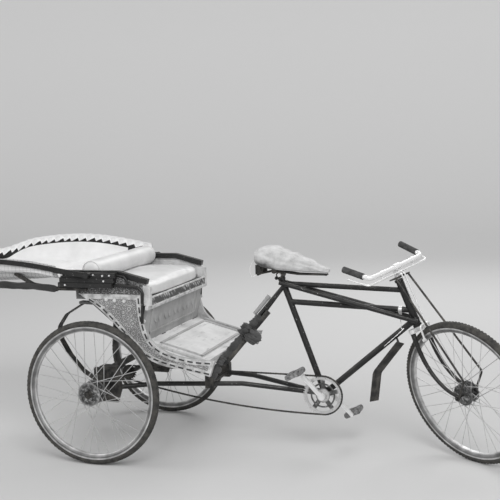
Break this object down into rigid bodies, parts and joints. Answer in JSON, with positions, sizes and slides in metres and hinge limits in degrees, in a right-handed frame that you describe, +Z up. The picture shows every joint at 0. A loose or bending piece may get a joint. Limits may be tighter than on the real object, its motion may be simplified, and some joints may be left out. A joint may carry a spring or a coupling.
{
  "type": "cycle rickshaw",
  "caption": "Three-wheeled cycle rickshaw: bicycle front end and chain drive, sprung wooden seat body between two rear wheels, and a hood that is folded back.",
  "frame": {"origin": "on the floor, at the middle of the overall length and width", "axes": "+X forward along the vehicle, +Y to its left, +Z up"},
  "size_m": [3.2, 1.049, 1.0592],
  "materials": {
    "tyre": "worn dusty rubber",
    "rim": "dull plated steel",
    "bright_steel": "bright plated steel, a little worn",
    "frame_paint": "worn dark gloss paint",
    "dark_steel": "greasy dark steel",
    "body_paint": "painted board with a light dashed border",
    "light_paint": "weathered light paint",
    "floor_paint": "worn light paint on boards",
    "wood": "worn boards",
    "seat_cloth": "smooth light vinyl",
    "hood_lining": "light woven lining",
    "hood_cloth": "dark folded cloth",
    "saddle_cover": "light mottled cover",
    "rubber": "moulded rubber"
  },
  "bodies": {
    "frame": {"axle_brackets": "dark_steel", "chassis_rails": "frame_paint", "chassis_ties": "dark_steel", "joint_blocks": "dark_steel", "c_springs": "dark_steel", "spring_straps": "dark_steel", "body_runners": "wood", "head_tube": "frame_paint", "top_tube": "frame_paint", "middle_tube": "frame_paint", "slant_tubes": "frame_paint", "down_tube": "frame_paint", "seat_tube": "frame_paint", "seat_stays": "frame_paint", "saddle_frame": "dark_steel", "saddle": "saddle_cover", "mud_flap": "dark_steel", "pump": "frame_paint", "chain": "dark_steel", "side_panel_left": "body_paint", "side_panel_right": "body_paint", "seat_riser": "light_paint", "seat_skirt": "light_paint", "seat_wings": "body_paint", "floor_board": "floor_paint", "floor_panel": "floor_paint", "toe_board": "floor_paint", "seat_box_bottom": "wood", "seat_plank": "wood", "back_board": "wood", "seat_cushion": "seat_cloth", "back_roll": "seat_cloth", "arm_bars": "wood", "hood_blocks": "dark_steel", "arm_stays": "frame_paint", "hood_rest": "dark_steel"},
    "steering": {"fork_crown": "bright_steel", "fork_blades": "frame_paint", "fork_rods": "dark_steel", "handlebar": "bright_steel", "grips": "rubber", "brake_gear": "bright_steel"},
    "front_wheel": {"front_wheel": "rim", "front_tyre": "tyre"},
    "drive_axle": {"rear_axle": "dark_steel", "rear_right_wheel": "rim", "rear_right_tyre": "tyre"},
    "left_wheel": {"rear_left_wheel": "rim", "rear_left_tyre": "tyre"},
    "crank": {"crank_arms": "bright_steel", "chainring": "rim"},
    "pedal_right": {"pedal_right": "rubber"},
    "pedal_left": {"pedal_left": "rubber"},
    "rear_bow": {"hood_bow_rear": "frame_paint", "hood_back_panel": "hood_lining"},
    "middle_bow": {"hood_bow_middle": "frame_paint", "hood_canopy_rear": "hood_cloth"},
    "front_bow": {"hood_bow_front": "frame_paint", "hood_canopy_front": "hood_cloth", "hood_frill": "hood_lining"}
  },
  "joints": [
    {"name": "steering", "type": "hinge", "parent": "frame", "child": "steering", "pos_m": [1.02875, 0, 0.72641], "axis": [-0.3746, 0, 0.9272], "range_deg": [-12, 82]},
    {"name": "front_wheel_spin", "type": "hinge", "parent": "steering", "child": "front_wheel", "pos_m": [1.29489, -0.07287, 0.3486], "axis": [0.5278, 0.8221, 0.2133], "continuous": true},
    {"name": "drive_axle_spin", "type": "hinge", "parent": "frame", "child": "drive_axle", "pos_m": [-0.45, 0, 0.3555], "axis": [0, 1, 0], "continuous": true},
    {"name": "left_wheel_spin", "type": "hinge", "parent": "frame", "child": "left_wheel", "pos_m": [-0.45, 0.4705, 0.3555], "axis": [0, 1, 0], "continuous": true},
    {"name": "crank_spin", "type": "hinge", "parent": "frame", "child": "crank", "pos_m": [0.597, 0, 0.29], "axis": [0, 1, 0], "continuous": true},
    {"name": "pedal_right_spin", "type": "hinge", "parent": "crank", "child": "pedal_right", "pos_m": [0.48106, -0.09, 0.41433], "axis": [0, 1, 0], "continuous": true},
    {"name": "pedal_left_spin", "type": "hinge", "parent": "crank", "child": "pedal_left", "pos_m": [0.71294, 0.09, 0.16567], "axis": [0, 1, 0], "continuous": true},
    {"name": "hood_rear", "type": "hinge", "parent": "frame", "child": "rear_bow", "pos_m": [-0.47, 0, 0.925], "axis": [0, 1, 0], "range_deg": [0, 40], "deforming": ["hood_back_panel"]},
    {"name": "hood_middle", "type": "hinge", "parent": "rear_bow", "child": "middle_bow", "pos_m": [-0.47, 0, 0.925], "axis": [0, 1, 0], "range_deg": [0, 35], "deforming": ["hood_canopy_rear"]},
    {"name": "hood_front", "type": "hinge", "parent": "middle_bow", "child": "front_bow", "pos_m": [-0.47, 0, 0.925], "axis": [0, 1, 0], "range_deg": [0, 35], "deforming": ["hood_canopy_front"]}
  ],
  "couplings": [
    {"joint": "hood_middle", "follows": "hood_rear", "ratio": 0.875},
    {"joint": "hood_front", "follows": "hood_rear", "ratio": 0.875}
  ]
}
